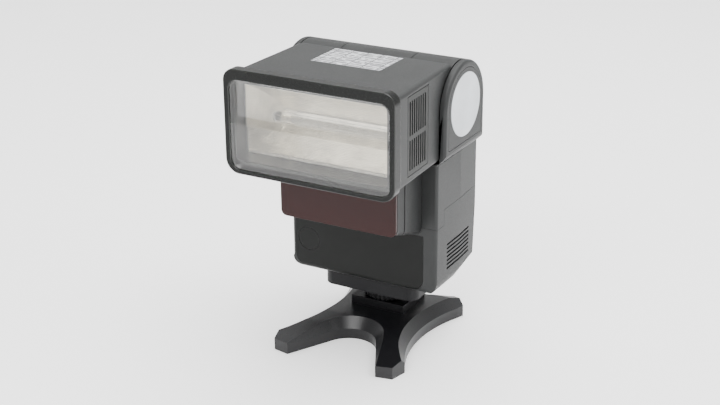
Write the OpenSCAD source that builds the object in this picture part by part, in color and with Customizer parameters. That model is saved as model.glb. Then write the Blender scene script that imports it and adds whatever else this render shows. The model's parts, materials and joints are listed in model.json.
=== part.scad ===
// Zoom speedlight with a tilting and swivelling head, standing on its small shoe stand.
// The origin is the centre of the stand's tripod socket, on the table. The lamp faces -Y,
// +X is the right-hand side as seen from the front, and +Z is up. Millimetres.

/* [Stand] */
// Y of the tips of the two front legs
stand_front = -51; // [-56:0.5:-48]
// Y of the tips of the two rear legs
stand_rear = 19.5; // [18.5:0.5:22]
// Height of the deck that carries the shoe
deck_z = 9; // [8.6:0.1:9]
// Height of the legs' upright edge
leg_edge = 4.6; // [3:0.1:6]
// Drill radius of the 1/4 inch tripod thread
tripod_r = 2.55; // [2.5:0.05:2.6]

/* [Hot shoe] */
// Width of the foot plate
foot_w = 18.6; // [18.3:0.1:18.6]
// Thickness of the foot plate
foot_t = 2; // [1.8:0.1:2]
// Radius of the round neck above the plate
foot_neck_r = 5.9; // [5.4:0.1:6.2]
// Radius of the knurled locking wheel
wheel_r = 10.4; // [9.5:0.1:11]

/* [Body] */
// Half of the body's width
body_w = 34.1; // [34:0.1:35]
// Y of the body's front face
body_front = -23.2; // [-24:0.1:-23.2]
// Y of the body's rear face
body_back = 15.2; // [15.2:0.1:16]
// Height of the body's underside
body_z0 = 27; // [26.5:0.1:27]
// Height of the seam between body and yoke
body_z1 = 84.1; // [84:0.1:84.1]
// Thickness of the plastic walls
wall = 2; // [1.8:0.1:2.2]

/* [Tilt joint] */
// Y of the tilt axis
tilt_y = -6.7; // [-6.8:0.1:-6.6]
// Height of the tilt axis
tilt_z = 105.8; // [105.7:0.1:105.9]
// Radius of the drum between the cheeks, and of the cheeks' arch
drum_r = 17.8; // [17.5:0.1:17.8]
// Inner face of the cheeks
cheek_in = 35.2; // [35.1:0.1:35.4]
// Outer face of the cheeks
cheek_out = 38; // [38:0.1:38.5]
// Radius of the pale disc on each cheek
disc_r = 13.1; // [12:0.1:13.4]

/* [Swivel] */
// Y of the swivel axis
swivel_y = -4; // [-4.2:0.1:-3.8]
// Radius of the swivel tube
tube_r = 11; // [10.5:0.1:11.2]

/* [Head] */
// Y of the bezel's front face
bezel_front = -65.7; // [-67:0.1:-65.7]
// Half of the bezel's width
bezel_w = 37.5; // [37.4:0.1:38]
// Y of the head case's front end
case_front = -59.4; // [-60:0.1:-59.4]
// Height of the head case's underside
head_z0 = 86.1; // [86.1:0.1:86.4]
// Height of the head case's top
head_z1 = 123.55; // [123.4:0.05:123.6]
// Travel of the zoom carriage
zoom_travel = 8; // [4:0.5:8]

/* [Nose] */
// Y of the nose's front face
nose_front = -44; // [-45:0.1:-44]
// Half of the nose's width at the front
nose_w = 26; // [25.5:0.1:26]

/* [Batteries] */
// Radius of one AA cell
cell_r = 7.2; // [7.1:0.05:7.25]
// Length of one AA cell
cell_l = 50.2; // [50:0.1:50.5]

/* [Hidden] */
$fn = 64;
foot_z = deck_z + 0.2;
plate_top = foot_z + foot_t;
rail_in = foot_w / 2 + 0.15;
rail_out = 12.6;
rail_top = 12.7;
neck_z = 17.4;
wheel_z0 = 12.9;
wheel_z1 = 17.3;
base_z = 20;
bore_gap = 0.06;
crease_y = -1.9;
rear_w = body_w - 1;
seam_z = 63.3;
step_z = 56.5;
step_y = -16.6;
panel_x0 = -32.5;
panel_x1 = 28;
panel_z0 = 28.2;
panel_z1 = 52.6;
sensor_x = -26.1;
sensor_z = 41;
sensor_r = 5.1;
hair = 0.12;
door_y0 = -18.6;
door_y1 = 12.6;
door_z = 34.3;
door_x = -body_w + 1.4;
door_pin_r = 0.6;
door_barrel_r = 1.3;
cell_x = -31.1;
cell_pitch = 14.5;
cells_y = -3.8;
cells_z = 48.8;
pins = [[0, 0], [-5.4, 4.2], [5.4, 4.2], [0, 6.6]];
rise = 11.3;
rise_y = -4;
lean = 4.7;
lean_z = 54;
toe_r = 3;
heel_r = 5;
edge_r = 5.5;
neck_screws = [[-2.9, -2.9], [2.9, -2.9], [-2.9, 2.9], [2.9, 2.9]];
mount_screws_at = [[-16, -14], [16, -14], [-16, 6], [16, 6]];
case_screws_at = [[-29.7, 68], [29.7, 68], [-29.7, 78.6], [29.7, 78.6]];
nose_z0 = 59.4;
nose_back_z = 53.1;
nose_z1 = 83.6;
nose_seam = -36.9;
slope_y = -42;
nose_slope = atan2(nose_z0 - nose_back_z, body_front + 1 - slope_y);
cap_r = 9;
board_y = 9;
board_t = 1.2;
tube_z0 = 81.9;
cable_r = 7;
ring_r = 14.4;
hub_in = 16.15;
hub_out = 34.7;
tongue_y = -28.5;
pivot_r = 4;
cover_t = 1.2;
lens_x = 35;
lens_z0 = 85.2;
lens_z1 = 121.5;
bezel_z0 = 83.3;
bezel_z1 = 125.9;
refl_w = 32;
refl_z0 = 89.6;
refl_z1 = 118.6;
refl_y = -57.3;
refl_depth = 17;
lamp_z = (refl_z0 + refl_z1) / 2;
refl_back_w = 24;
lamp_r = 2;
cap_out = lamp_r + 0.7;
tube_y = refl_y + refl_depth - 3.1;
rail_x = 30;
rail_z = 117.2;
rail_r = 0.8;
bar_back = -42.6;
lug_y = bar_back + 8 + zoom_travel;
lug_t = 1.4;
teeth = 10;
gear_r = 2.5;
gear_y = -30.8;
gear_z = 117;
rack_pitch = 2 * PI * gear_r / teeth;
rack_z = gear_z + gear_r;

// ---------- drawing helpers ----------

// Block between two opposite corners
module block(x, y, z) {
    translate([x[0], y[0], z[0]]) cube([x[1] - x[0], y[1] - y[0], z[1] - z[0]]);
}

// Rectangle with a radius at each corner, in the order bottom left, bottom right,
// top right, top left
module sheet(x, y, r = [0, 0, 0, 0]) {
    corners = [[x[0], y[0]], [x[1], y[0]], [x[1], y[1]], [x[0], y[1]]];
    inward = [[1, 1], [-1, 1], [-1, -1], [1, -1]];
    polygon([for (k = [0:3])
        let (c = corners[k], d = inward[k], along_first = k % 2 == 1)
        for (s = r[k] == 0 ? [0] : along_first ? [0, 1] : [1, 0])
            [c[0] + (s == 0 ? d[0] * r[k] : 0), c[1] + (s == 1 ? d[1] * r[k] : 0)]]);
    for (k = [0:3])
        if (r[k] > 0) translate([for (a = [0, 1]) corners[k][a] + inward[k][a] * r[k]]) circle(r[k]);
}

// Extrude a drawing of (x, y) along Z
module along_z(z) {
    translate([0, 0, z[0]]) linear_extrude(z[1] - z[0]) children();
}

// Extrude a drawing of (x, z) along Y
module along_y(y) {
    translate([0, y[1], 0]) rotate([90, 0, 0]) linear_extrude(y[1] - y[0]) children();
}

// Extrude a drawing of (y, z) along X
module along_x(x) {
    translate([x[0], 0, 0]) rotate([90, 0, 90]) linear_extrude(x[1] - x[0]) children();
}

// Round bars along each axis
module bar_z(x, y, z, r) {
    translate([x, y, z[0]]) cylinder(h = z[1] - z[0], r = r);
}

module bar_y(x, y, z, r) {
    translate([x, y[1], z]) rotate([90, 0, 0]) cylinder(h = y[1] - y[0], r = r);
}

module bar_x(x, y, z, r) {
    translate([x[0], y, z]) rotate([0, 90, 0]) cylinder(h = x[1] - x[0], r = r);
}

// The same shape on both sides
module both_sides() {
    children();
    mirror([1, 0, 0]) children();
}

// ---------- stand ----------

// Notches between the legs: centre and radius of each round one
side_notch = [[82.6, -11.4], 61.1];
rear_notch = [[0, stand_rear + 30.3], 36.3];
front_notch = [[0, -36.4], 11.7];
// Straight flank of a front leg, from the end of the round notch to the tip
flank = [[10.4, -31], [20.8, stand_front]];
// Angle at which the upper part of the flanks leans in
flare = 39;

function mirrored(points) = [for (k = [len(points) - 1:-1:0]) [-points[k][0], points[k][1]]];

right_tips = [flank[1], [28, stand_front + 1.4], [29.7, -42], [26.8, 13.6], [27.9, stand_rear - 2.7],
    [20, stand_rear]];

module stand_outline() difference() {
    polygon(concat(right_tips, mirrored(right_tips)));
    for (x = [-1, 1]) translate([x * side_notch[0][0], side_notch[0][1]]) circle(side_notch[1], $fn = 256);
    translate(rear_notch[0]) circle(rear_notch[1], $fn = 256);
    translate(front_notch[0]) circle(front_notch[1]);
    polygon(concat(flank, [flank[1] + [0, -5]], mirrored([flank[1] + [0, -5]]), mirrored(flank)));
}

// Flaring upper part of a round notch
module flared(notch, x) {
    rise = 10;
    translate([x * notch[0][0], notch[0][1], leg_edge])
        cylinder(h = rise, r1 = notch[1], r2 = notch[1] + rise * tan(flare), $fn = 256);
}

// Space beyond the leaning upper part of a straight flank
module beyond_flank() {
    run = flank[1] - flank[0];
    translate([flank[0][0], flank[0][1], leg_edge]) rotate([-flare, 0, atan2(run[1], run[0])])
        block([0, norm(run) + 5], [-20, 0], [0, 20]);
}

module stand_legs() difference() {
    intersection() {
        along_z([0, deck_z]) stand_outline();
        along_x([-40, 40]) polygon([[-60, -1], [30, -1], [30, 7], [stand_rear, 7.3], [13, deck_z],
            [-22, deck_z], [-34, 8.4], [stand_front, 5], [-60, 4]]);
    }
    for (x = [-1, 1]) flared(side_notch, x);
    flared(rear_notch, 0);
    flared(front_notch, 0);
    both_sides() beyond_flank();
}

module stand_base() color("#1c1d1f") difference() {
    union() {
        stand_legs();
        both_sides() {
            block([rail_in, rail_out], [-10.8, 9.4], [deck_z - 1, rail_top]);
            block([6.7, rail_out], [-10.8, 9.4], [plate_top + 0.15, rail_top]);
        }
        block([-rail_out, rail_out], [-10.8, -9.2], [deck_z - 1, rail_top]);
    }
    block([-6.6, 6.6], [-8.8, 30], [deck_z - 1.4, deck_z + 1]);
    bar_z(0, 0, [-1, 7], 4.75);
}

module tripod_bush() color("#b9a26a") difference() {
    bar_z(0, 0, [0, 7], 4.75);
    bar_z(0, 0, [-1, 6.2], tripod_r);
}

// ---------- foot ----------

// Screw along Z with its head below: head radius, shank radius
module screw_up(x, y, z, head_r, shank_r, head_h) {
    bar_z(x, y, [z[0], z[0] + head_h], head_r);
    bar_z(x, y, [z[0] + head_h, z[1]], shank_r);
}

module foot_screws() color("#9a9c9f")
    for (p = neck_screws) difference() {
        screw_up(p[0], p[1], [foot_z + 0.3, base_z + 4], 1.6, 0.9, 1.1);
        block([p[0] - 1.1, p[0] + 1.1], [p[1] - 0.2, p[1] + 0.2], [foot_z, foot_z + 0.7]);
    }

module hot_shoe_foot() color("#26272a") difference() {
    union() {
        along_z([foot_z, plate_top]) sheet([-foot_w / 2, foot_w / 2], [-9, 9], [1, 1, 2, 2]);
        bar_z(0, 0, [plate_top, neck_z], foot_neck_r);
    }
    for (p = pins) bar_z(p[0], p[1], [foot_z - 1, foot_z + 1.7], 0.86);
    for (p = neck_screws) {
        bar_z(p[0], p[1], [foot_z - 1, foot_z + 1.4], 1.6);
        bar_z(p[0], p[1], [foot_z, neck_z + 1], 0.9);
    }
    bar_z(0, -7.4, [foot_z - 1, plate_top + 1], 1 + bore_gap);
}

module contact_pins() color("#cdb574")
    for (p = pins) {
        bar_z(p[0], p[1], [foot_z - 0.3, foot_z + 0.95], 0.8);
        translate([p[0], p[1], foot_z - 0.3]) intersection() {
            sphere(0.8);
            block([-1, 1], [-1, 1], [-1, 0]);
        }
    }

module lock_pin() color("#a4a6a9") bar_z(0, -7.4, [foot_z + 0.1, wheel_z0 - 0.2], 1);

module locking_wheel() color("#222326") difference() {
    along_z([wheel_z0, wheel_z1]) difference() {
        circle(wheel_r);
        for (k = [0:29]) rotate(12 * k) translate([wheel_r + 0.25, 0]) circle(0.65, $fn = 16);
    }
    bar_z(0, 0, [wheel_z0 - 1, wheel_z1 + 1], foot_neck_r + bore_gap);
}

module foot_mount() color("#232427") difference() {
    union() {
        bar_z(0, 0, [neck_z, base_z], 9.4);
        along_z([base_z, body_z0 + 5]) sheet([-22, 22], [-19, 11], [5, 5, 4, 4]);
    }
    body_block(0, body_z1);
    for (p = neck_screws) bar_z(p[0], p[1], [neck_z - 1, base_z + 4], 0.9);
    for (p = mount_screws_at) {
        bar_z(p[0], p[1], [base_z - 1, base_z + 2], 2.4);
        bar_z(p[0], p[1], [base_z, body_z0 + 6], 1.2);
    }
}

module mount_screws() color("#8f9194")
    for (p = mount_screws_at) difference() {
        screw_up(p[0], p[1], [base_z + 0.6, body_z0 + 5], 2.4, 1.2, 1.4);
        block([p[0] - 1.6, p[0] + 1.6], [p[1] - 0.3, p[1] + 0.3], [base_z, base_z + 1.3]);
        block([p[0] - 0.3, p[0] + 0.3], [p[1] - 1.6, p[1] + 1.6], [base_z, base_z + 1.3]);
    }

// ---------- body shells ----------

// The underside is level at the front and rises behind rise_y; the rear face leans in below
// lean_z. Inward directions of those two faces, and the centres of the round corners
rise_in = [-sin(rise), cos(rise)];
lean_in = [-cos(lean), sin(lean)];
toe = [body_front + toe_r, body_z0 + toe_r];
heel_line = [rise_y, body_z0] + heel_r * rise_in;
heel_run = [cos(rise), sin(rise)];
heel = heel_line + (heel_r - (heel_line - [body_back, lean_z]) * lean_in) / (heel_run * lean_in) * heel_run;

// Side outline of the body, drawn in by i
module side_outline(i, z1) {
    polygon([[body_front + i, toe[1]], [toe[0], body_z0 + i], [rise_y - i * tan(rise / 2), body_z0 + i],
        heel - (heel_r - i) * rise_in, heel, heel - (heel_r - i) * lean_in,
        [body_back - i, lean_z + i * tan(lean / 2)], [body_back - i, z1], [body_front + i, z1]]);
    translate(toe) circle(toe_r - i);
    translate(heel) circle(heel_r - i);
}

// Long prism as wide as the body, drawn in by i, with rounded lower edges
module belly(i) {
    far = 60;
    along_y([-far, far]) sheet([-body_w + i, body_w - i], [0, 2 * far], [edge_r - i, edge_r - i, 0, 0]);
}

// The body's outer block, drawn in by i, from its underside up to z1
module body_block(i, z1) {
    far = 60;
    intersection() {
        along_z([body_z0 + i, z1]) polygon([[-body_w + i, body_front + i], [body_w - i, body_front + i],
            [body_w - i, crease_y], [rear_w - i, body_back - i], [-rear_w + i, body_back - i],
            [-body_w + i, crease_y]]);
        translate([0, 0, body_z0 + i]) belly(i);
        translate([0, rise_y, body_z0 + i / cos(rise)]) rotate([rise, 0, 0]) belly(i);
        along_x([-far, far]) side_outline(i, z1 + 1);
    }
}

// Everything in the body below the stepped seam
module below_seam(gap) {
    along_x([-60, 60]) polygon([[-60, 0], [60, 0], [60, seam_z - gap], [step_y + gap, seam_z - gap],
        [step_y + gap, step_z - gap], [-60, step_z - gap]]);
}

module body_walls() difference() {
    body_block(0, body_z1);
    body_block(wall, body_z1 - wall);
}

// Outline of the flush front panel, grown by g
module panel_outline(g) {
    sheet([panel_x0 - g, panel_x1 + g], [panel_z0 - g, panel_z1 + g], [5, 5, 0.6, 0.6]);
}

// Hole through the front wall for the back of the nose
module nose_hole() {
    nose_block([body_front - 1, body_front + wall + 0.5], nose_w + 1, -hair / 2);
}

module vents() {
    for (k = [0:6])
        along_x([20, 40]) sheet([-13.6, 8.4], [35.6 + 1.78 * k, 36.5 + 1.78 * k], [0.3, 0.3, 0.3, 0.3]);
}

module door_gap(g) {
    block([-60, cell_x + 0.2], [door_y0 - g, door_y1 + g], [door_z - door_barrel_r - 0.3, seam_z + 1]);
}

module lower_shell() color("#2c2d2f") difference() {
    union() {
        difference() {
            intersection() {
                body_walls();
                below_seam(hair / 2);
            }
            along_y([body_front - 1, body_front + wall + 0.5]) panel_outline(hair);
            nose_hole();
            vents();
            door_gap(0.15);
        }
        intersection() {
            body_block(wall / 2, body_z1);
            for (p = mount_screws_at) bar_z(p[0], p[1], [body_z0, body_z0 + 5.2], 2.6);
        }
        for (y = [[door_y0 - 0.2, door_y0 + 2.4], [door_y1 - 2.4, door_y1 + 0.2]])
            bar_y(door_x, y, door_z, door_barrel_r);
    }
    for (p = mount_screws_at) bar_z(p[0], p[1], [body_z0 - 1, body_z0 + 5], 1.2);
    bar_y(door_x, [door_y0 - 0.1, door_y1 + 0.1], door_z, door_pin_r);
}

module front_panel() color("#303233") difference() {
    intersection() {
        body_block(0, body_z1);
        along_y([body_front, body_front + wall]) panel_outline(0);
    }
    bar_y(sensor_x, [body_front - 1, body_front + wall + 1], sensor_z, sensor_r);
}

module sensor_window() color("#303233")
    bar_y(sensor_x, [body_front, body_front + wall], sensor_z, sensor_r - hair);

module sensor_cell() color("#5b5f66") union() {
    block([sensor_x - 3.4, sensor_x + 3.4], [body_front + wall + 0.1, body_front + wall + 1.3],
        [sensor_z - 3.4, sensor_z + 3.4]);
    for (x = [-1.3, 1.3]) bar_z(sensor_x + x, body_front + wall + 0.7, [sensor_z - 7, sensor_z - 3.4], 0.3);
}

// Both upper shells in one, before they are cut apart
module upper_walls() difference() {
    body_walls();
    below_seam(-hair / 2);
    bar_z(0, swivel_y, [body_z1 - wall - 1, body_z1 + 1], tube_r + bore_gap);
    along_y([body_front - 1, body_front + wall + 0.5]) panel_outline(hair);
    nose_hole();
}

module upper_front_shell() color("#2f3032") difference() {
    union() {
        intersection() {
            upper_walls();
            block([-60, 60], [-60, crease_y - hair / 2], [0, 100]);
        }
        for (p = case_screws_at) difference() {
            bar_y(p[0], [-14, crease_y - 0.1], p[1], 2.6);
            bar_y(p[0], [-12, crease_y + 1], p[1], 1.1);
        }
    }
}

module rear_panel_outline(g) {
    sheet([-25 - g, 25 + g], [65.4 - g, 81 + g], [1.5, 1.5, 1.5, 1.5]);
}

module upper_rear_shell() color("#2f3032") difference() {
    union() {
        intersection() {
            upper_walls();
            block([-60, 60], [crease_y + hair / 2, 60], [0, 100]);
        }
        for (p = case_screws_at) bar_y(p[0], [crease_y + 0.1, body_back - 1], p[1], 2.6);
    }
    for (p = case_screws_at) {
        bar_y(p[0], [crease_y - 1, body_back], p[1], 1.1);
        bar_y(p[0], [body_back - 1.6, body_back + 1], p[1], 1.9);
    }
    along_y([body_back - wall - 0.5, body_back + 1]) rear_panel_outline(hair);
}

module case_screws() color("#3a3b3d")
    for (p = case_screws_at) difference() {
        union() {
            bar_y(p[0], [-11.8, body_back - 1.6], p[1], 1.1);
            bar_y(p[0], [body_back - 1.6, body_back - 0.4], p[1], 1.9);
        }
        block([p[0] - 1.3, p[0] + 1.3], [body_back - 1, body_back], [p[1] - 0.25, p[1] + 0.25]);
        block([p[0] - 0.25, p[0] + 0.25], [body_back - 1, body_back], [p[1] - 1.3, p[1] + 1.3]);
    }

// ---------- batteries ----------

module battery_door() color("#2c2d2f") intersection() {
    body_block(0, body_z1);
    below_seam(0.2);
    difference() {
        union() {
            block([-60, door_x + 0.4], [door_y0, door_y1], [door_z, seam_z]);
            bar_y(door_x, [door_y0 + 2.6, door_y1 - 2.6], door_z, door_barrel_r);
        }
        for (y = [[door_y0 - 1, door_y0 + 2.6], [door_y1 - 2.6, door_y1 + 1]])
            block([-60, 0], y, [door_z - 2, door_z + 1.6]);
        bar_y(door_x, [door_y0 - 1, door_y1 + 1], door_z, door_pin_r + bore_gap);
    }
}

module door_hinge_pin() color("#b4b6b9")
    bar_y(door_x, [door_y0 - 0.1, door_y1 + 0.1], door_z, door_pin_r);

module door_contact() color("#c8c9cb")
    for (z = [-1, 1])
        block([door_x + 0.4, door_x + 0.8], [cells_y - 12.5, cells_y + 12.5],
            [cells_z + z * 7.2 - 4, cells_z + z * 7.2 + 4]);

module battery_box() color("#1f2022") difference() {
    block([cell_x - 0.1, cell_x + cell_l + 5], [cells_y - cell_pitch - 0.6, cells_y + cell_pitch + 0.6],
        [cells_z - cell_pitch - 0.6, cells_z + cell_pitch + 0.4]);
    block([cell_x - 1, cell_x + cell_l + 4.2], [cells_y - cell_pitch + 0.1, cells_y + cell_pitch - 0.1],
        [cells_z - cell_pitch + 0.1, cells_z + cell_pitch - 0.1]);
}

// Centres of the four cells in the (y, z) plane
cell_centres = [for (y = [-1, 1], z = [-1, 1]) [cells_y + y * cell_pitch / 2, cells_z + z * cell_pitch / 2]];

module battery_cells() color("#b8753a")
    for (k = [0:3]) let (c = cell_centres[k], flip = (k == 0 || k == 3)) {
        bar_x([cell_x + (flip ? 1 : 0), cell_x + cell_l - (flip ? 0 : 1)], c[0], c[1], cell_r - 0.05);
        if (flip) bar_x([cell_x, cell_x + 1.2], c[0], c[1], 2.7);
        else bar_x([cell_x + cell_l - 1.2, cell_x + cell_l], c[0], c[1], 2.7);
    }

module battery_springs() color("#c4c5c8")
    for (c = cell_centres) {
        block([cell_x + cell_l + 3.7, cell_x + cell_l + 4.2], [c[0] - 5, c[0] + 5], [c[1] - 5, c[1] + 5]);
        for (k = [0:3])
            bar_x([cell_x + cell_l + 0.05 + k * 0.9, cell_x + cell_l + 1.1 + k * 0.9], c[0], c[1],
                2.4 + k * 0.6);
    }

// ---------- electronics ----------

module main_board() color("#2f6b3c") union() {
    block([-25.5, 25.5], [-18.5, 9.5], [65.4, 67]);
    for (x = [-18, -8, 4]) block([x, x + 6], [-17, -12], [67, 69.2]);
    bar_z(-20, 4, [67, 74], 3.2);
}

// Upright board behind the controls, with the bodies of the two slide switches
module control_board() color("#2f6b3c") union() {
    block([-24, 24], [board_y, board_y + board_t], [67.8, 76.2]);
    for (x = [-17, 0]) block([x - 2, x + 8], [board_y + board_t, board_y + 2.6], [73.4, 76.1]);
}

// Push switch on the board, behind the test button
module test_contact() color("#b4b6b9") union() {
    block([17, 23], [board_y + board_t, board_y + 2.4], [69, 75]);
    bar_y(20, [board_y + 2.4, board_y + 2.6], 72, 1.2);
}

module flash_capacitor() color("#24262c") union() {
    bar_x([-23, 12], -29.6, 72.6, cap_r);
    for (z = [-3.5, 3.5]) bar_x([12, 15], -29.6, 72.6 + z, 0.5);
}

module transformer() color("#c9b458") union() {
    block([17.5, 24.5], [-8, 4], [67, 68.5]);
    bar_z(21, -2, [68.5, 76], 3);
    block([17.5, 24.5], [-8, 4], [76, 77.5]);
}

// ---------- rear controls ----------

module rear_panel() color("#37383b") difference() {
    along_y([body_back - wall, body_back]) rear_panel_outline(0);
    for (s = [[-14, 75.5], [3, 75.5]])
        block([s[0] - 5.2, s[0] + 5.2], [body_back - wall - 1, body_back + 1], [s[1] - 1.7, s[1] + 1.7]);
    bar_y(20, [body_back - wall - 1, body_back + 1], 72, 3.1);
    bar_y(13.5, [body_back - wall - 1, body_back + 1], 72, 1.5);
}

// Sliding knob with three grip ribs, and its flange behind the panel
module slider(x, z) union() {
    block([x - 2, x + 2], [body_back - wall + 0.05, body_back + 1], [z - 1.6, z + 1.6]);
    for (k = [-1, 0, 1])
        block([x + k * 1.2 - 0.3, x + k * 1.2 + 0.3], [body_back + 0.9, body_back + 1.4], [z - 1.6, z + 1.6]);
    block([x - 3, x + 3], [body_back - wall - 0.7, body_back - wall - 0.1], [z - 2.4, z + 2.4]);
    block([x - 1.6, x + 1.6], [body_back - wall - 0.2, body_back - wall + 0.3], [z - 1.6, z + 1.6]);
}

module power_switch() color("#6a6c70") slider(-17, 75.5);

module mode_switch() color("#6a6c70") slider(0, 75.5);

module test_button() color("#d98f2b") union() {
    bar_y(20, [body_back - wall - 0.2, body_back + 0.9], 72, 3);
    bar_y(20, [body_back - wall - 0.7, body_back - wall - 0.15], 72, 3.8);
}

module ready_lamp() color("#c8402c") union() {
    bar_y(13.5, [board_y + board_t, body_back + 0.1], 72, 1.5);
    translate([13.5, body_back + 0.1, 72]) intersection() {
        sphere(1.5);
        block([-2, 2], [0, 2], [-2, 2]);
    }
}

// ---------- nose ----------

// Cross-section of the nose's front, drawn in by i, with half width w
module nose_section(w, z0, i) {
    sheet([-w + i, w - i], [z0 + i, nose_z1 - i], [2.5 - i, 2.5 - i, 1, 1]);
}

// Stretch of the nose behind its window, drawn in by i: a straight top and sides, and an
// underside that slopes down to the body with rounded edges
module nose_block(y, w, i) intersection() {
    along_y(y) sheet([-w + i, w - i], [nose_back_z - 8, nose_z1 - i], [0, 0, 1, 1]);
    translate([0, slope_y, nose_z0 + i / cos(nose_slope)]) rotate([-nose_slope, 0, 0])
        along_y([-15, 45]) sheet([-w + i, w - i], [0, 60], [2.5 - i, 2.5 - i, 0, 0]);
}

module nose_rear() color("#2f3032") difference() {
    nose_block([nose_seam + hair / 2, body_front + 0.8], nose_w + 1, 0);
    nose_block([nose_seam - 1, body_front + 2], nose_w + 1, 1.6);
}

module nose_frame() color("#2f3032") difference() {
    nose_block([-42.6, nose_seam - hair / 2], nose_w + 0.6, 0);
    nose_block([-45, -30], nose_w + 0.6, 1.6);
}

module af_window() color("#5d2f2e") difference() {
    along_y([nose_front, -42.65]) nose_section(nose_w + 0.4, nose_z0, 0);
    along_y([nose_front + 1, -40]) nose_section(nose_w + 0.4, nose_z0, 1.2);
}

module af_lens() color("#b04a42") union() {
    bar_y(19.5, [-41.6, -40.4], 72.6, 4);
    translate([19.5, -36.7, 72.6]) intersection() {
        sphere(6);
        bar_y(0, [-7, -3.5], 0, 4);
    }
}

module af_lamp() color("#d8d8da") union() {
    bar_y(19.5, [-34.5, -30], 72.6, 2.5);
    for (x = [-1.2, 1.2]) bar_y(19.5 + x, [-30, -26.5], 72.6, 0.3);
}

// ---------- yoke ----------

// Side outline of a cheek, drawn in by i, down to height z0
module cheek_outline(i, z0) {
    translate([tilt_y, tilt_z]) circle(drum_r - i);
    sheet([tilt_y - drum_r + i, tilt_y + drum_r - i], [z0, tilt_z], [0, 0, 0, 0]);
}

// One cheek: its underside slopes in to meet the body's side
module cheek() color("#2b2c2e") difference() {
    intersection() {
        along_x([cheek_in - 8, cheek_out]) cheek_outline(0, body_z1 + 0.15);
        along_y([-50, 50]) polygon([[cheek_in, 130], [cheek_in, 85.7], [30, 85.7], [30, body_z1 + 0.15],
            [body_w, body_z1 + 0.15], [cheek_out, 87.8], [cheek_out, 130]]);
    }
    along_x([cheek_out - cover_t, cheek_out + 1]) cover_outline(hair);
    bar_x([cheek_in - 1, cheek_out - cover_t], tilt_y, tilt_z, pivot_r);
}

module cheek_right() cheek();

module cheek_left() mirror([1, 0, 0]) cheek();

// Side outline of the flat cover on a cheek, grown by g
module cover_outline(g) {
    translate([tilt_y, tilt_z]) circle(14.9 + g);
    sheet([tilt_y - 14.9 - g, tilt_y + 14.9 + g], [90.3 - g, tilt_z], [0.8, 0.8, 0, 0]);
}

module cheek_covers() color("#38393b") both_sides() difference() {
    along_x([cheek_out - cover_t, cheek_out]) cover_outline(0);
    bar_x([cheek_out - 0.5, cheek_out + 1], tilt_y, tilt_z, disc_r);
}

module cheek_discs() color("#d4d8dc") both_sides()
    bar_x([cheek_out - 0.5, cheek_out + 0.1], tilt_y, tilt_z, disc_r - 0.05);

// Block that carries the centre of the drum
module pedestal() {
    block([-12, 12], [-12.4, 4], [85, 90.8]);
}

module yoke_base() color("#2b2c2e") difference() {
    union() {
        block([-30, 30], [tilt_y - drum_r, tilt_y + drum_r], [body_z1 + 0.15, 85.7]);
        bar_z(0, swivel_y, [tube_z0, body_z1 + 0.3], tube_r);
        pedestal();
    }
    bar_z(0, swivel_y, [tube_z0 - 1, 92], cable_r);
    bar_x([-40, 40], tilt_y, tilt_z, drum_r - 2);
    for (k = [0:2]) rotate_about(k) bar_z(9.5, 0, [tube_z0 - 1, tube_z0 + 3.6], 0.7);
}

// Turn about the swivel axis by thirds
module rotate_about(k) {
    translate([0, swivel_y, 0]) rotate([0, 0, 120 * k + 60]) children();
}

module swivel_ring() color("#5d5f62") difference() {
    bar_z(0, swivel_y, [tube_z0 - 1.4, tube_z0], ring_r);
    bar_z(0, swivel_y, [tube_z0 - 2, tube_z0 + 1], cable_r);
    for (k = [0:2]) rotate_about(k) bar_z(9.5, 0, [tube_z0 - 2, tube_z0 + 1], 0.7);
}

module ring_screws() color("#b4b6b9")
    for (k = [0:2]) rotate_about(k) {
        bar_z(9.5, 0, [tube_z0 - 2.3, tube_z0 - 1.4], 1.3);
        bar_z(9.5, 0, [tube_z0 - 1.4, tube_z0 + 3.4], 0.7);
    }

module drum_centre() color("#2d2e30") difference() {
    bar_x([-hub_in + 0.3, hub_in - 0.3], tilt_y, tilt_z, drum_r);
    bar_x([-hub_in + 2, hub_in - 2], tilt_y, tilt_z, drum_r - 2);
    pedestal();
    bar_x([-40, 40], tilt_y, tilt_z, pivot_r + 1);
}

module pivot_pins() color("#b4b6b9") both_sides()
    bar_x([hub_in + 4, cheek_out - cover_t], tilt_y, tilt_z, pivot_r);

// ---------- head ----------

module head_hubs() color("#2d2e30") both_sides() difference() {
    union() {
        difference() {
            bar_x([hub_in, hub_out], tilt_y, tilt_z, drum_r);
            bar_x([hub_in - 1, hub_out - 2], tilt_y, tilt_z, drum_r - 2);
        }
        bar_x([hub_in, hub_out], tilt_y, tilt_z, pivot_r + 3);
        tongue();
    }
    bar_x([hub_in - 1, hub_out + 1], tilt_y, tilt_z, pivot_r + 0.05);
}

// Tongue of a hub that is held inside the head case
module tongue() {
    block([19, 31], [tongue_y, tilt_y - 14], [tilt_z - 7, tilt_z + 7]);
}

// Plan of the head case, drawn in by i
module head_plan(i) {
    y1 = tilt_y;
    w0 = 36.3 - i;
    w1 = 34.4 - i;
    polygon([[-w0, case_front], [w0, case_front], [w1, y1], [-w1, y1]]);
}

module head_block(i) intersection() {
    along_z([head_z0 + i, head_z1 - i]) head_plan(i);
    along_x([-50, 50]) difference() {
        polygon([[case_front - (i > 0 ? 1 : 0), head_z0 + i], [-20.5, head_z0 + i], [-13.65, head_z0 + i],
            [-13.65, head_z1 - i], [case_front - (i > 0 ? 1 : 0), head_z1 - i]]);
        translate([tilt_y, tilt_z]) circle(drum_r + 0.35 + i);
    }
}

// Places of the cooling slots: eight columns in two rows
slot_rows = [[91.6, 103.6], [105.4, 118.9]];

module grille_outline(g) {
    sheet([-52.7 - g, -34.8 + g], [89.7 - g, 121 + g], [0.3, 0.3, 0.3, 0.3]);
}

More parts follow.
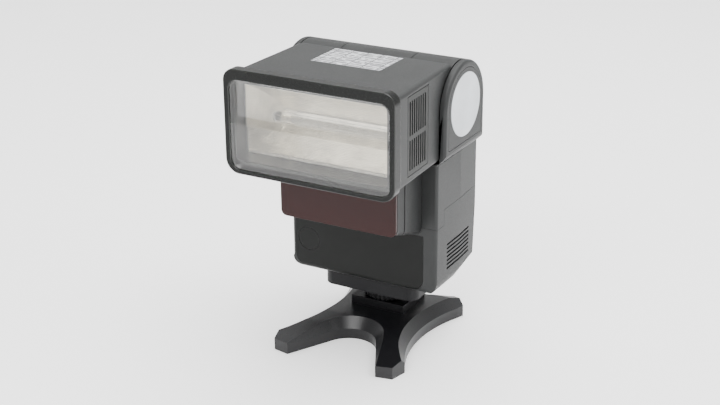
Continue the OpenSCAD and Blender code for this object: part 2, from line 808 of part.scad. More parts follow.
module head_case() color("#38393b") difference() {
    head_block(0);
    head_block(1.8);
    both_sides() {
        along_x([33, 40]) grille_outline(0.28);
        tongue();
    }
    block([-17, 14.3], [-34.5, -14.4], [head_z1 - 0.4, head_z1 + 1]);
}

// Pierced insert that fills the opening in one side of the head
module grille() difference() {
    intersection() {
        along_x([33.9, 40]) grille_outline(0);
        along_z([0, 200]) head_plan(0);
    }
    for (row = slot_rows, k = [0:7])
        along_x([30, 41]) sheet([-51.35 + 1.9 * k, -50.3 + 1.9 * k], row, [0.2, 0.2, 0.2, 0.2]);
}

module head_grilles() color("#333436") both_sides() grille();

module label_plate() color("#d5d7da")
    block([-16.9, 14.2], [-34.4, -14.5], [head_z1 - 0.4, head_z1 - 0.1]);

module bezel() color("#1f2022") difference() {
    union() {
        along_y([bezel_front, case_front - 1.6])
            sheet([-bezel_w, bezel_w], [bezel_z0, bezel_z1], [6, 6, 5, 5]);
        along_y([case_front - 1.7, case_front])
            sheet([-bezel_w + 0.7, bezel_w - 0.7], [bezel_z0 + 1.4, bezel_z1 - 1.4], [5.5, 5.5, 4.5, 4.5]);
        along_y([case_front - 0.5, case_front + 3.5])
            sheet([-34.3, 34.3], [head_z0 + 1.9, head_z1 - 1.9], [2, 2, 2, 2]);
    }
    along_y([bezel_front - 1, bezel_front + 2.2])
        sheet([-lens_x, lens_x], [lens_z0, lens_z1], [4, 4, 4, 4]);
    along_y([bezel_front + 2, case_front + 5])
        sheet([-33.2, 33.2], [88.6, 120.2], [2, 2, 2, 2]);
}

module fresnel_lens() color([0.93, 0.95, 0.97, 0.35])
    along_y([bezel_front + 0.6, bezel_front + 2.2])
        sheet([-lens_x + 0.02, lens_x - 0.02], [lens_z0 + 0.02, lens_z1 - 0.02], [4, 4, 4, 4]);

// Guide rod on each side, held at its rear end by a lug under the case's top
module lamp_rails() color("#8d9094") both_sides() union() {
    bar_y(rail_x, [bar_back, lug_y + lug_t], rail_z, rail_r);
    block([rail_x - 1.5, rail_x + 1.5], [lug_y, lug_y + lug_t], [rail_z - 1.5, head_z1 - 1.85]);
}

module zoom_motor() color("#7a7d82") difference() {
    union() {
        bar_x([-14, 2.2], gear_y, gear_z, 3.8);
        block([-14, 2.2], [gear_y - 2.5, gear_y + 2.5], [gear_z + 2.5, head_z1 - 1.85]);
    }
    bar_x([-6, 3], gear_y, gear_z, 0.75 + bore_gap);
}

// Outline of the pinion: straight-sided teeth, one of them pointing up
function pinion_points() = [for (k = [0:teeth - 1], c = [[-11, gear_r - 0.65], [-3.5, gear_r + 0.35],
    [3.5, gear_r + 0.35], [11, gear_r - 0.65]])
    let (a = 90 - 360 * k / teeth - c[0]) c[1] * [cos(a), sin(a)]];

module zoom_pinion() color("#e3dfd2") union() {
    translate([0, gear_y, gear_z]) along_x([2.6, 6.4]) polygon(pinion_points());
    bar_x([-5.5, 7], gear_y, gear_z, 0.75);
}

// Half height of the reflector's inside at depth t behind its mouth, from 0 to 1
function bowl(t) = (refl_z1 - refl_z0) / 2 * sqrt(1 - t);

// Side outline of the reflector's inside, grown by g
module bowl_outline(g) {
    steps = 12;
    upper = [for (k = [0:steps]) let (t = 1 - pow(1 - k / steps, 2))
        [refl_y + (refl_depth + g) * t, bowl(t) + g]];
    polygon(concat([for (p = upper) [p[0], lamp_z + p[1]]],
        [for (k = [steps:-1:0]) [upper[k][0], lamp_z - upper[k][1]]]));
}

// Plan outline of the reflector's inside, grown by g
module bowl_plan(g) {
    y1 = refl_y + refl_depth + g + 1;
    polygon([[-refl_w - g, refl_y - 1], [refl_w + g, refl_y - 1], [refl_back_w + g, y1],
        [-refl_back_w - g, y1]]);
}

module bowl_solid(g) intersection() {
    along_x([-40, 40]) bowl_outline(g);
    along_z([80, 130]) bowl_plan(g);
}

module reflector() color("#e9e7dc") difference() {
    bowl_solid(0.6);
    bowl_solid(0);
    translate([0, -0.1, 0]) intersection() {
        bowl_solid(0);
        block([-40, 40], [refl_y - 1, refl_y + 1], [80, 130]);
    }
    bar_x([-40, 40], tube_y, lamp_z, cap_out + 0.03);
}

module flash_tube() color([0.95, 0.95, 0.92, 0.6]) union() {
    bar_x([-28.4, 28.4], tube_y, lamp_z, lamp_r);
    both_sides() bar_x([28.4, 29.1], tube_y, lamp_z, 0.5);
}

module tube_caps() color("#c9c6bd") both_sides() difference() {
    bar_x([26.4, 29.1], tube_y, lamp_z, cap_out);
    bar_x([25, 28.4], tube_y, lamp_z, lamp_r);
    bar_x([28, 30], tube_y, lamp_z, 0.5);
}

// Carriage of the lamp: two cheeks with bushes on the guide rods, a bar across them, and
// a rack that the pinion drives
module lamp_holder() color("#3c3d40") difference() {
    union() {
        both_sides() {
            block([29.1, 30.4], [bar_back - 2.4, bar_back + 3.4], [lamp_z - 3.4, 119.5]);
            bar_y(rail_x, [bar_back - 0.4, bar_back + 3.4], rail_z, rail_r + 1.1);
        }
        block([-30.4, 30.4], [bar_back - 2, bar_back], [119.2, rack_z + 1.3]);
        block([3, 6], [bar_back - 1, gear_y + rack_pitch / 2 + 0.46], [rack_z + 0.45, rack_z + 1.3]);
        for (k = [0:ceil(zoom_travel / rack_pitch)])
            along_x([3, 6]) translate([gear_y + (0.5 - k) * rack_pitch, rack_z])
                polygon([[-0.45, 0.5], [-0.18, -0.3], [0.18, -0.3], [0.45, 0.5]]);
    }
    both_sides() bar_y(rail_x, [bar_back - 3, bar_back + 5], rail_z, rail_r + 0.05);
}

stand_base();
tripod_bush();
hot_shoe_foot();
foot_screws();
contact_pins();
lock_pin();
locking_wheel();
foot_mount();
mount_screws();
lower_shell();
front_panel();
sensor_window();
sensor_cell();
upper_front_shell();
upper_rear_shell();
case_screws();
battery_door();
door_hinge_pin();
door_contact();
battery_box();
battery_cells();
battery_springs();
main_board();
control_board();
test_contact();
flash_capacitor();
transformer();
rear_panel();
power_switch();
mode_switch();
test_button();
ready_lamp();
nose_rear();
nose_frame();
af_window();
af_lens();
af_lamp();
yoke_base();
swivel_ring();
ring_screws();
drum_centre();
cheek_left();
cheek_right();
cheek_covers();
cheek_discs();
pivot_pins();
head_hubs();
head_case();
head_grilles();
label_plate();
bezel();
fresnel_lens();
lamp_rails();
zoom_motor();
zoom_pinion();
reflector();
flash_tube();
tube_caps();
lamp_holder();
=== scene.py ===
"""Looks of the zoom speedlight on its shoe stand: camera, studio, materials and fine shapes.

Everything is in metres in the CAD part's own frame. The lamp faces -Y and +Z is up.
"""

import bmesh
import bpy
import json
import math
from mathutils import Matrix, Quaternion, Vector


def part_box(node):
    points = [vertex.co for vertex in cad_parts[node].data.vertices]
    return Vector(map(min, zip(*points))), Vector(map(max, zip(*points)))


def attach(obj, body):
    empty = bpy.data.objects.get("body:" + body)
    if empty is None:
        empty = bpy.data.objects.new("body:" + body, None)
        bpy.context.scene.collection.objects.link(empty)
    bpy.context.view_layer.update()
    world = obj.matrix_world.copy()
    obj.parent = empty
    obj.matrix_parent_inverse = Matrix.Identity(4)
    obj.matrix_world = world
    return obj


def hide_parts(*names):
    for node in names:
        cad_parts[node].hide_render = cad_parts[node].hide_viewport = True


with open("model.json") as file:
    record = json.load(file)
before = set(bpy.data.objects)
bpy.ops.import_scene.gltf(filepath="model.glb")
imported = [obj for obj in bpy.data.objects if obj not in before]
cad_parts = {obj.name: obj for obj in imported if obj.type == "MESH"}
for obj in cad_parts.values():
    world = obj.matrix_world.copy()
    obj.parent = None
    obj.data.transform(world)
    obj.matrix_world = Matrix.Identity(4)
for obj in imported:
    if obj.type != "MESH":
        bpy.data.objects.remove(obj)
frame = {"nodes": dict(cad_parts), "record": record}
NODES = frame["nodes"]
BODY_OF = {node: body for body, nodes in frame["record"]["behaviour"]["bodies"].items() for node in nodes}
SLOT_OF = {part["node"]: part["material_slot"] for part in frame["record"]["subparts"]}
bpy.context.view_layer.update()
MM = 0.001


def mm(*values):
    """A point given in millimetres, in metres."""
    return Vector(values) * MM


# ---------- materials ----------

class Shader:
    """A node material with a few helpers for building its network."""

    def __init__(self, name, **settings):
        self.material = bpy.data.materials.new(name)
        self.material.use_nodes = True
        self.tree = self.material.node_tree
        self.surface = self.tree.nodes["Principled BSDF"]
        self.place = self.node("ShaderNodeTexCoord").outputs["Object"]
        for socket, value in settings.items():
            self.surface.inputs[socket.replace("_", " ")].default_value = value

    def node(self, kind, **values):
        """A new node; each value goes to the input or the setting of that name."""
        made = self.tree.nodes.new(kind)
        for name, value in values.items():
            if name in made.inputs:
                made.inputs[name].default_value = value
            else:
                setattr(made, name, value)
        return made

    def link(self, source, target):
        self.tree.links.new(source, target)

    def noise(self, per_metre, detail=2.0, stretch=None):
        """Noise in object space, as a value around 0.5."""
        noise = self.node("ShaderNodeTexNoise", Scale=per_metre, Detail=detail)
        place = self.place
        if stretch:
            mapping = self.node("ShaderNodeMapping")
            mapping.inputs["Scale"].default_value = stretch
            self.link(place, mapping.inputs["Vector"])
            place = mapping.outputs["Vector"]
        self.link(place, noise.inputs["Vector"])
        return noise.outputs["Fac"]

    def spread(self, value, low, high, start=0.3, end=0.7):
        """The value mapped from start..end to low..high."""
        ramp = self.node("ShaderNodeMapRange")
        for name, number in (("From Min", start), ("From Max", end), ("To Min", low), ("To Max", high)):
            ramp.inputs[name].default_value = number
        self.link(value, ramp.inputs["Value"])
        return ramp.outputs["Result"]

    def blend(self, value, first, second):
        """A colour between two others."""
        mix = self.node("ShaderNodeMix", data_type="RGBA")
        mix.inputs[6].default_value = (*first, 1)
        mix.inputs[7].default_value = (*second, 1)
        self.link(value, mix.inputs[0])
        return mix.outputs[2]

    def math(self, operation, first, second):
        """The result of an operation on two numbers or outputs."""
        made = self.node("ShaderNodeMath", operation=operation)
        for socket, value in zip(made.inputs, (first, second)):
            if isinstance(value, (int, float)):
                socket.default_value = value
            else:
                self.link(value, socket)
        return made.outputs["Value"]

    def bump(self, height, distance):
        """Relief on the surface, up to a distance in metres."""
        bump = self.node("ShaderNodeBump", Distance=distance, Strength=1.0)
        self.link(height, bump.inputs["Height"])
        self.link(bump.outputs["Normal"], self.surface.inputs["Normal"])


def plastic(name, base, rough, grain, depth=0.00002, gloss=0.35, mottle=0.1):
    """Moulded plastic: fine spark-eroded grain and faint clouding."""
    shader = Shader(name, Specular_IOR_Level=gloss)
    clouds = shader.spread(shader.noise(60, 3), 0, 1)
    dark, pale = ([c * (1 + side * mottle) for c in base] for side in (-1, 1))
    shader.link(shader.blend(clouds, dark, pale), shader.surface.inputs["Base Color"])
    fine = shader.noise(grain, 2)
    shader.link(shader.spread(fine, rough - 0.06, rough + 0.06), shader.surface.inputs["Roughness"])
    shader.bump(fine, depth)
    return shader.material


def metal(name, base, rough, streak=(1, 1, 14), metallic=1.0):
    """Metal with drawn or turned streaks and a little tarnish."""
    shader = Shader(name, Metallic=metallic)
    lines = shader.noise(1400, 2, streak)
    stain = shader.noise(220, 3)
    shader.link(shader.blend(shader.spread(stain, 0, 1), [c * 0.8 for c in base], base),
                shader.surface.inputs["Base Color"])
    shader.link(shader.spread(lines, rough - 0.08, rough + 0.12), shader.surface.inputs["Roughness"])
    shader.bump(lines, 0.00001)
    return shader.material


def clear(name, tint, rough, ior, transmission=1.0, smears=0.94, **skin):
    """Transparent plastic or glass with faint smears, darker by a factor; skin sets a glossy coat over it."""
    shader = Shader(name, IOR=ior, Transmission_Weight=transmission, **skin)
    smear = shader.noise(150, 3)
    shader.link(shader.blend(shader.spread(smear, 0, 1), [c * smears for c in tint], tint),
                shader.surface.inputs["Base Color"])
    shader.link(shader.spread(smear, rough, rough + 0.05), shader.surface.inputs["Roughness"])
    shader.bump(smear, 0.000005)
    return shader.material


def label():
    """Silver foil label: a dark printed grid, with plain broken bars in place of its small print."""
    low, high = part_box("label_plate")
    grid_cells, side_margin, end_margin = 4, 0.0021, 0.003
    column_half, row_half = 0.00022, 0.0002
    bar_margin, bar_pitch, bar_half = 0.0012, 0.0021, 0.00055
    gaps_per_metre, gap_below, bar_ink = 500, 0.42, 0.85
    foil, ink = (0.6, 0.61, 0.63), (0.05, 0.05, 0.055)
    shader = Shader("label_silver", Metallic=0.25, Specular_IOR_Level=0.5)
    axes = shader.node("ShaderNodeSeparateXYZ")
    shader.link(shader.place, axes.inputs["Vector"])

    def bars(axis, start, pitch, half):
        """1 on lines that cross an axis, a pitch apart; half is half of a line's width."""
        offset = shader.math("SUBTRACT", axes.outputs[axis], start)
        phase = shader.math("PINGPONG", offset, pitch / 2)
        return shader.math("LESS_THAN", phase, half)

    columns = bars("X", low.x + side_margin, (high.x - low.x - 2 * side_margin) / grid_cells, column_half)
    rows = bars("Y", low.y + end_margin, (high.y - low.y - 2 * end_margin) / grid_cells, row_half)
    grid = shader.math("MAXIMUM", columns, rows)
    small_print = bars("Y", low.y + bar_margin, bar_pitch, bar_half)
    unbroken = shader.math("GREATER_THAN", shader.noise(gaps_per_metre, 0), gap_below)
    marks = shader.math("MULTIPLY", shader.math("MULTIPLY", small_print, unbroken), bar_ink)
    printed = shader.math("MAXIMUM", grid, marks)
    shader.link(shader.blend(printed, foil, ink), shader.surface.inputs["Base Color"])
    shader.link(shader.spread(shader.noise(700), 0.34, 0.5), shader.surface.inputs["Roughness"])
    shader.bump(shader.noise(400), 0.00001)
    return shader.material


def cells():
    """Copper-coloured wrap round the cells, with bare steel ends."""
    low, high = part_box("battery_cells")
    bare_end = 0.0013
    middle, wrap_end = (low.x + high.x) / 2, (high.x - low.x) / 2 - bare_end
    shader = Shader("cell_wrap", Metallic=1.0)
    axes = shader.node("ShaderNodeSeparateXYZ")
    shader.link(shader.place, axes.inputs["Vector"])
    away = shader.math("ABSOLUTE", shader.math("SUBTRACT", axes.outputs["X"], middle), 0)
    bare = shader.math("GREATER_THAN", away, wrap_end)
    shader.link(shader.blend(bare, (0.5, 0.24, 0.09), (0.6, 0.6, 0.61)), shader.surface.inputs["Base Color"])
    scuffs = shader.noise(900, 3, (14, 1, 1))
    shader.link(shader.spread(scuffs, 0.25, 0.45), shader.surface.inputs["Roughness"])
    shader.bump(scuffs, 0.00001)
    return shader.material


def circuit():
    """Green lacquered board with paler tracks."""
    shader = Shader("circuit_board", Specular_IOR_Level=0.5)
    tracks = shader.spread(shader.noise(420, 1, (1, 3, 1)), 0, 1, 0.5, 0.53)
    shader.link(shader.blend(tracks, (0.012, 0.08, 0.025), (0.03, 0.16, 0.05)),
                shader.surface.inputs["Base Color"])
    shader.link(shader.spread(tracks, 0.28, 0.4), shader.surface.inputs["Roughness"])
    shader.bump(tracks, 0.00002)
    return shader.material


# Plastics: colour, roughness, grain per metre, grain depth and gloss
PLASTICS = {
    "stand_plastic": ((0.005, 0.005, 0.006), 0.33, 4200, 0.000002, 0.4),
    "foot_plastic": ((0.007, 0.007, 0.008), 0.45, 2400, 0.000015, 0.18),
    "wheel_plastic": ((0.007, 0.007, 0.008), 0.4, 2400, 0.000015, 0.25),
    "shell_plastic": ((0.024, 0.025, 0.025), 0.48, 2600, 0.00002, 0.24),
    "front_plastic": ((0.007, 0.0075, 0.007), 0.4, 3000, 0.00001, 0.14),
    "sensor_parts": ((0.09, 0.1, 0.12), 0.3, 1500, 0.00001, 0.5),
    "inner_plastic": ((0.03, 0.03, 0.032), 0.55, 1800, 0.00002, 0.35),
    "capacitor_wrap": ((0.02, 0.022, 0.035), 0.3, 1500, 0.00001, 0.5),
    "switch_grey": ((0.15, 0.15, 0.16), 0.45, 2400, 0.00002, 0.35),
    "button_orange": ((0.72, 0.25, 0.03), 0.3, 2000, 0.000008, 0.5),
    "disc_grey": ((0.6, 0.63, 0.66), 0.42, 1600, 0.000006, 0.5),
    "grille_plastic": ((0.021, 0.022, 0.021), 0.48, 2600, 0.00002, 0.2),
    "bezel_plastic": ((0.005, 0.0055, 0.005), 0.24, 2200, 0.000004, 0.16),
    "gear_plastic": ((0.7, 0.68, 0.62), 0.4, 1600, 0.00001, 0.4),
    "cap_rubber": ((0.6, 0.58, 0.54), 0.6, 1600, 0.00002, 0.3),
}
# Brightness of a plastic's edges beside its faces, painted into their colour: above 1 is a painted highlight
# along the edges, below 1 is painted shade in the seams
EDGE_PAINTED_LIGHT = {"stand_plastic": 3.0, "foot_plastic": 1.8, "shell_plastic": 0.75, "front_plastic": 1.7,
          "bezel_plastic": 3.0, "grille_plastic": 1.4, "wheel_plastic": 2.0}

MATERIALS = {name: plastic(name, *values) for name, values in PLASTICS.items()}
# Edge materials carry that painted highlight or painted shade; they are also smoother, glossier and more
# mottled than the faces between them
EDGE_PAINTED_LIGHT_MATERIALS = {}
for slot, factor in EDGE_PAINTED_LIGHT.items():
    colour, rough, grain, depth, gloss = PLASTICS[slot]
    EDGE_PAINTED_LIGHT_MATERIALS[slot] = plastic(slot + "_edge", [c * factor for c in colour], rough - 0.1, grain, depth / 2,
                                 gloss + 0.2, mottle=0.35)

MATERIALS.update({
    "brass": metal("brass", (0.62, 0.47, 0.22), 0.3),
    "steel": metal("steel", (0.55, 0.56, 0.58), 0.3),
    "dark_screws": metal("dark_screws", (0.09, 0.09, 0.1), 0.4),
    "cell_wrap": cells(),
    "coil_copper": metal("coil_copper", (0.6, 0.35, 0.12), 0.45),
    "circuit_board": circuit(),
    "lamp_red": clear("lamp_red", (0.7, 0.05, 0.03), 0.1, 1.49, 0.5),
    "window_red": clear("window_red", (0.028, 0.004, 0.0035), 0.2, 1.28, 0.2),
    "clear_plastic": clear("clear_plastic", (0.85, 0.85, 0.87), 0.1, 1.5),
    "label_silver": label(),
    "tube_glass": clear("tube_glass", (0.95, 0.94, 0.9), 0.03, 1.47),
    "lens_clear": clear("lens_clear", (1.0, 0.995, 0.98), 0.04, 1.49, smears=0.97,
                        Coat_Weight=0.15, Coat_Roughness=0.05),
    "reflector_mirror": metal("reflector_mirror", (1.0, 0.965, 0.88), 0.22, (1, 20, 20), 0.92),
})


def dress(piece, slot):
    """Give a piece the material of a slot, and for some slots a second material for its edges, with a painted
    highlight or painted shade in its colour.
    """
    piece.data.materials.clear()
    piece.data.materials.append(MATERIALS[slot])
    # the edge material paints a highlight or shade onto the bevel faces
    if slot in EDGE_PAINTED_LIGHT_MATERIALS:
        piece.data.materials.append(EDGE_PAINTED_LIGHT_MATERIALS[slot])


# ---------- CAD pieces that stay, with softened edges ----------

# Edge radius in millimetres, and the pieces where it differs
USUAL_EDGE = 0.22
EDGES = {
    "stand_base": 0.45, "hot_shoe_foot": 0.12, "foot_mount": 0.6, "head_grilles": 0.06, "front_panel": 0.12,
    "sensor_window": 0.12, "bezel": 0.5, "label_plate": 0, "cheek_discs": 0.05, "drum_centre": 0.25,
    "contact_pins": 0, "test_contact": 0.05, "lamp_rails": 0.05, "zoom_pinion": 0.04,
    "lamp_holder": 0.06, "flash_tube": 0.1, "tube_caps": 0.1, "case_screws": 0.08, "mount_screws": 0.08,
    "foot_screws": 0.06, "ring_screws": 0.06, "ready_lamp": 0, "power_switch": 0.1, "mode_switch": 0.1,
}


def smooth_group():
    """Modifier network that shades a mesh smooth."""
    group = bpy.data.node_groups.new("smooth", "GeometryNodeTree")
    for way in ("INPUT", "OUTPUT"):
        group.interface.new_socket("Geometry", in_out=way, socket_type="NodeSocketGeometry")
    start, smooth, end = (group.nodes.new(kind) for kind in ("NodeGroupInput", "GeometryNodeSetShadeSmooth",
                                                             "NodeGroupOutput"))
    group.links.new(start.outputs[0], smooth.inputs[0])
    group.links.new(smooth.outputs[0], end.inputs[0])
    return group


SMOOTH = smooth_group()


def clean(piece):
    """Weld the tessellation and make flat faces whole."""
    weld = piece.modifiers.new("weld", "WELD")
    weld.merge_threshold = 0.000002
    whole = piece.modifiers.new("whole", "DECIMATE")
    whole.decimate_type = "DISSOLVE"
    whole.angle_limit = math.radians(0.6)


def soften(piece, radius):
    """Round every sharp edge a little and shade the piece smooth."""
    bevel = piece.modifiers.new("edges", "BEVEL")
    bevel.width = radius * MM
    bevel.segments = 3
    # bevel faces take the last material: where the slot has one, the edge material with painted highlight or
    # painted shade
    bevel.material = len(piece.data.materials) - 1
    bevel.limit_method = "ANGLE"
    bevel.angle_limit = math.radians(35)
    piece.modifiers.new("smooth", "NODES").node_group = SMOOTH
    piece.modifiers.new("normals", "WEIGHTED_NORMAL").keep_sharp = True


def stand_in(name, mesh, node):
    """Show a mesh in place of a CAD node, on its body and with its material."""
    piece = bpy.data.objects.new(name, mesh)
    bpy.context.scene.collection.objects.link(piece)
    dress(piece, SLOT_OF[node])
    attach(piece, BODY_OF[node])
    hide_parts(node)
    return piece


def rounded(node, radius, chosen):
    """Show a copy of a CAD piece with a larger radius on the edges that pass a test.

    The test gets both ends of an edge and the piece's box, in millimetres.
    """
    low, high = (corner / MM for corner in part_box(node))
    graph = bpy.context.evaluated_depsgraph_get()
    mesh = bpy.data.meshes.new_from_object(NODES[node].evaluated_get(graph))
    work = bmesh.new()
    work.from_mesh(mesh)
    edges = [edge for edge in work.edges if chosen(edge.verts[0].co / MM, edge.verts[1].co / MM, low, high)]
    bmesh.ops.bevel(work, geom=edges, offset=radius * MM, segments=6, profile=0.5, affect="EDGES")
    work.to_mesh(mesh)
    work.free()
    return stand_in(node + "_rounded", mesh, node)


def long_side(a, b, low, high):
    """Lengthwise outer edges of the head case, upper and lower."""
    near, long, outer = 0.02, 20, 34
    level = min(abs(a.z - high.z), abs(a.z - low.z)) < near and abs(a.z - b.z) < near
    return level and abs(a.y - b.y) > long and min(abs(a.x), abs(b.x)) > outer


def front_upright(a, b, low, high):
    """Upright edges between the body's front and sides."""
    near_side, near_front = 0.05, 0.02
    on_edge = [abs(abs(p.x) - high.x) < near_side and abs(p.y - low.y) < near_front for p in (a, b)]
    return all(on_edge) and a.x * b.x > 0


def arch_outline(a, b, low, high):
    """Outer outline of a cheek, over its arch and down both sides."""
    near_face, near_outline = 0.02, 0.06
    middle, radius = (low.y + high.y) / 2, (high.y - low.y) / 2
    outer = max(-low.x, high.x)

    def on_outline(p):
        away = math.hypot(p.y - middle, max(0, p.z - (high.z - radius)))
        return abs(abs(p.x) - outer) < near_face and abs(away - radius) < near_outline

    return on_outline(a) and on_outline(b)


# Pieces with larger radii on some edges: radius in millimetres and the test that picks them
LARGER_RADII = {
    "head_case": (2.0, long_side), "cheek_left": (1.4, arch_outline), "cheek_right": (1.4, arch_outline),
    "lower_shell": (1.2, front_upright), "upper_front_shell": (1.2, front_upright),
}

for name, piece in NODES.items():
    dress(piece, SLOT_OF[name])
    clean(piece)
shown = dict(NODES)
for name, (radius, chosen) in LARGER_RADII.items():
    shown[name] = rounded(name, radius, chosen)
for name, piece in shown.items():
    edge = EDGES.get(name, USUAL_EDGE)
    if edge:
        soften(piece, edge)


# ---------- pieces in finer shape than their CAD solids ----------

def add_piece(name, points, faces, node, smooth=True):
    """Show a new mesh in place of a CAD node, on its body and with its material."""
    mesh = bpy.data.meshes.new(name)
    mesh.from_pydata(points, [], faces)
    mesh.validate()
    work = bmesh.new()
    work.from_mesh(mesh)
    bmesh.ops.recalc_face_normals(work, faces=work.faces)
    work.to_mesh(mesh)
    work.free()
    for face in mesh.polygons:
        face.use_smooth = smooth
    stand_in(name, mesh, node)


def lens():
    """Clear front lens: flat outside, with fine prisms on its inner side that face the tube."""
    low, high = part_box("fresnel_lens")
    prisms, relief, rounding, steep_side = 58, 0.00009, 0.004, 0.12
    middle, step = (low.z + high.z) / 2, (high.z - low.z) / prisms

    def half_width(z):
        """Half of the lens's width at a height, less in the rounded corners."""
        into = max(0, rounding - min(z - low.z, high.z - z))
        return high.x - rounding + math.sqrt(rounding ** 2 - into ** 2)

    stations = []
    for k in range(prisms + 1):
        z = low.z + k * step
        stations.append((z, high.y - relief))
        if k < prisms:
            peak = z + step * (steep_side if z + step / 2 < middle else 1 - steep_side)
            stations.append((peak, high.y))
    points, faces = [], []
    for z, y in stations:
        half = half_width(z)
        points += [(-half, low.y, z), (half, low.y, z), (half, y, z), (-half, y, z)]
    for k in range(len(stations) - 1):
        faces += [(4 * k + a, 4 * k + b, 4 * k + 4 + b, 4 * k + 4 + a)
                  for a, b in ((0, 1), (1, 2), (2, 3), (3, 0))]
    last = 4 * (len(stations) - 1)
    faces += [(0, 1, 2, 3), (last, last + 1, last + 2, last + 3)]
    add_piece("lens_prisms", points, faces, "fresnel_lens", smooth=False)


def reflector():
    """Bright trough with a smooth curve and flat end cheeks."""
    low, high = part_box("reflector")
    middle = (low.z + high.z) / 2
    skin = 0.0006
    depth, half = high.y - low.y - skin, (high.z - low.z) / 2 - skin
    mouth_half, back_half = 0.032, 0.0245
    steps, columns = 28, 40

    def sheet(offset):
        """Rows of points across the trough, from its lower lip round the back to the upper."""
        rows = []
        for k in range(-steps, steps + 1):
            part = abs(k) / steps
            deep = 1 - part ** 2
            y = low.y + (depth + offset) * deep
            # the outer side's shift along Z grows over the first third of the way from the middle
            z = middle + math.copysign(half * part + offset * min(1, part * 3), k) if k else middle
            wide = (mouth_half - (mouth_half - back_half) * deep) + offset
            rows.append([(wide * (2 * c / columns - 1), y, z) for c in range(columns + 1)])
        return rows

    points, faces = [], []
    for offset in (0, skin):
        start = len(points)
        for row in sheet(offset):
            points += row
        for r in range(2 * steps):
            for c in range(columns):
                a = start + r * (columns + 1) + c
                faces.append((a, a + 1, a + columns + 2, a + columns + 1))
    layer = (2 * steps + 1) * (columns + 1)
    last = 2 * steps * (columns + 1)
    for c in range(columns):
        faces.append((c, c + 1, layer + c + 1, layer + c))
        faces.append((last + c, last + c + 1, layer + last + c + 1, layer + last + c))
    for r in range(2 * steps):
        for c in (0, columns):
            a = r * (columns + 1) + c
            faces.append((a, a + columns + 1, layer + a + columns + 1, layer + a))
    add_piece("reflector_trough", points, faces, "reflector")
    cheek_points, cheek_faces = [], []
    for side in (0, columns):
        ring = [row[side] for row in sheet(0)]
        for shift in (0, math.copysign(skin, side - 1)):
            cheek_points += [(x + shift, y, z) for x, y, z in ring]
        count, start = len(ring), len(cheek_points) - 2 * len(ring)
        cheek_faces += [tuple(range(start, start + count)),
                        tuple(range(start + 2 * count - 1, start + count - 1, -1))]
        cheek_faces += [(start + k, start + (k + 1) % count,
                         start + count + (k + 1) % count, start + count + k) for k in range(count)]
    add_piece("reflector_cheeks", cheek_points, cheek_faces, "reflector", smooth=False)


lens()
reflector()


# ---------- studio ----------

def floor():
    """Seamless pale floor that curves up far behind the object."""
    half, front, back, bend, top, steps = 3.0, -2.0, 1.6, 1.2, 4.0, 16
    angles = [math.radians(90 * k / steps) for k in range(steps + 1)]
    sweep = [(back + bend * math.sin(a), bend * (1 - math.cos(a))) for a in angles]
    profile = [(front, 0.0)] + sweep + [(back + bend, top)]
    points = [(x, y, z) for y, z in profile for x in (-half, half)]
    faces = [(2 * k, 2 * k + 1, 2 * k + 3, 2 * k + 2) for k in range(len(profile) - 1)]
    mesh = bpy.data.meshes.new("floor")
    mesh.from_pydata(points, [], faces)
    piece = bpy.data.objects.new("floor", mesh)
    bpy.context.scene.collection.objects.link(piece)
    shader = Shader("floor_paper", Specular_IOR_Level=0.1, Emission_Color=(1, 1, 1, 1), Emission_Strength=0.3)
    shader.link(shader.blend(shader.spread(shader.noise(4), 0, 1), (0.93, 0.93, 0.93), (0.95, 0.95, 0.95)),
                shader.surface.inputs["Base Color"])
    shader.link(shader.spread(shader.noise(30), 0.8, 0.9), shader.surface.inputs["Roughness"])
    mesh.materials.append(shader.material)
    for face in mesh.polygons:
        face.use_smooth = True


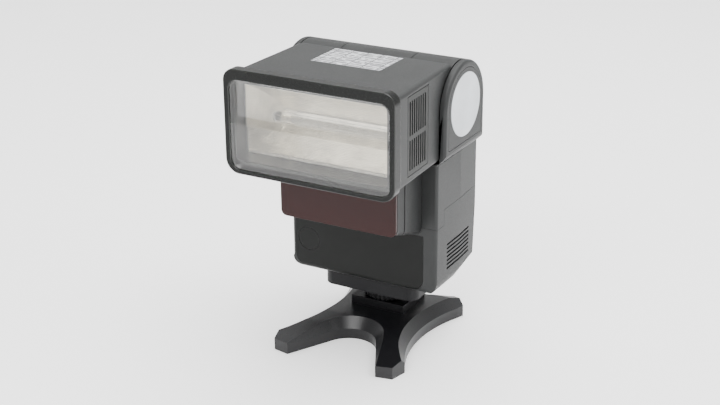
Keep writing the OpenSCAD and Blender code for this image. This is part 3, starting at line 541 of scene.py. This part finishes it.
def area_light(name, place, aim, size, power):
    """White rectangular lamp that faces a point."""
    lamp = bpy.data.lights.new(name, "AREA")
    lamp.shape = "RECTANGLE"
    lamp.size, lamp.size_y = size
    lamp.energy = power
    made = bpy.data.objects.new(name, lamp)
    bpy.context.scene.collection.objects.link(made)
    made.location = place
    made.rotation_euler = (Vector(aim) - Vector(place)).to_track_quat("-Z", "Y").to_euler()


def surroundings():
    """White all round, dimmer in front of the object and at full strength behind it."""
    world = bpy.data.worlds.new("studio")
    bpy.context.scene.world = world
    world.use_nodes = True
    tree = world.node_tree
    place = tree.nodes.new("ShaderNodeTexCoord")
    axes = tree.nodes.new("ShaderNodeSeparateXYZ")
    ramp = tree.nodes.new("ShaderNodeMapRange")
    for name, number in (("From Min", -0.75), ("From Max", 0.15), ("To Min", 0.55), ("To Max", 1.0)):
        ramp.inputs[name].default_value = number
    tree.links.new(place.outputs["Generated"], axes.inputs["Vector"])
    tree.links.new(axes.outputs["Y"], ramp.inputs["Value"])
    tree.links.new(ramp.outputs["Result"], tree.nodes["Background"].inputs["Strength"])
    tree.nodes["Background"].inputs["Color"].default_value = (1, 1, 1, 1)


def studio():
    """Pale surroundings, a big soft lamp overhead and two fill lamps."""
    surroundings()
    middle = mm(0, -15, 60)
    area_light("overhead", (0.1, 0.1, 1.1), middle, (1.4, 1.2), 30)
    area_light("right_fill", (1.1, 0.1, 0.6), middle, (0.9, 0.9), 3)
    area_light("front_fill", (0.1, -1.1, 1.15), middle, (1.1, 0.7), 20)


def camera():
    """Camera above and to the right of the lamp's front."""
    lens_mm, sensor_mm, distance = 72.5, 36.0, 0.5935
    azimuth, elevation, roll = math.radians(29.33), math.radians(21.74), math.radians(-0.40)
    target = mm(0, -25.3, 63.1)
    away = Vector((math.sin(azimuth) * math.cos(elevation), -math.cos(azimuth) * math.cos(elevation),
                   math.sin(elevation)))
    data = bpy.data.cameras.new("camera")
    data.lens, data.sensor_width = lens_mm, sensor_mm
    data.clip_start = 0.01
    made = bpy.data.objects.new("camera", data)
    bpy.context.scene.collection.objects.link(made)
    made.location = target + away * distance
    turn = Quaternion(away, roll) @ (-away).to_track_quat("-Z", "Y")
    made.rotation_euler = turn.to_euler()
    bpy.context.scene.camera = made


floor()
studio()
camera()
bpy.context.view_layer.update()
